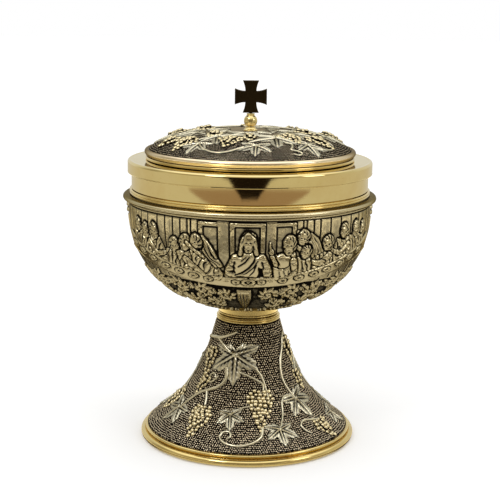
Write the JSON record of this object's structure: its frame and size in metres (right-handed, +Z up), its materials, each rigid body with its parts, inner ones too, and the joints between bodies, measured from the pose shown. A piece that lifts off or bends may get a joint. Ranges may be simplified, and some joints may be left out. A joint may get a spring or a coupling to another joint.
{
  "type": "ciborium vessel",
  "caption": "Covered ciborium: gilt cup in a cast relief casing on a trumpet foot with a turned collar, and a lift-off domed lid topped by a ball and a flared cross.",
  "frame": {"origin": "centre of the foot's underside, on the surface that it stands on", "axes": "+Z up along the turning axis; -Y is the front, which the cross's flat side faces; +X is the right seen from the front"},
  "size_m": [0.13, 0.13, 0.1858],
  "materials": {
    "gilt": "polished gold plate on turned brass",
    "antiqued_relief": "cast bronze, silvered, darkened in the hollows and rubbed bright on the high parts",
    "dark_bronze": "dark polished bronze plate",
    "turned_brass": "plain turned brass",
    "steel": "plain machined steel"
  },
  "bodies": {
    "vessel": {"foot_shell": "antiqued_relief", "foot_rim_ring": "gilt", "foot_washer": "turned_brass", "foot_lock_washer": "steel", "foot_nut": "steel", "tie_rod": "steel", "collar_base_ring": "gilt", "collar": "gilt", "bowl_casing": "antiqued_relief", "spacer_washer": "turned_brass", "cup_boss": "turned_brass", "cup": "gilt", "cup_bead_ring": "gilt"},
    "lid": {"lid_pan": "gilt", "lid_guide_ring": "gilt", "lid_step_ring": "gilt", "lid_dome": "antiqued_relief", "finial_seat": "gilt", "finial_ball": "gilt", "finial_cross": "dark_bronze", "finial_stud": "steel", "lid_washer": "gilt", "lid_nut": "gilt"}
  },
  "joints": [
    {"name": "lid_lift", "type": "slide", "parent": "vessel", "child": "lid", "axis": [0, 0, 1], "range_m": [0, 0.08]}
  ]
}
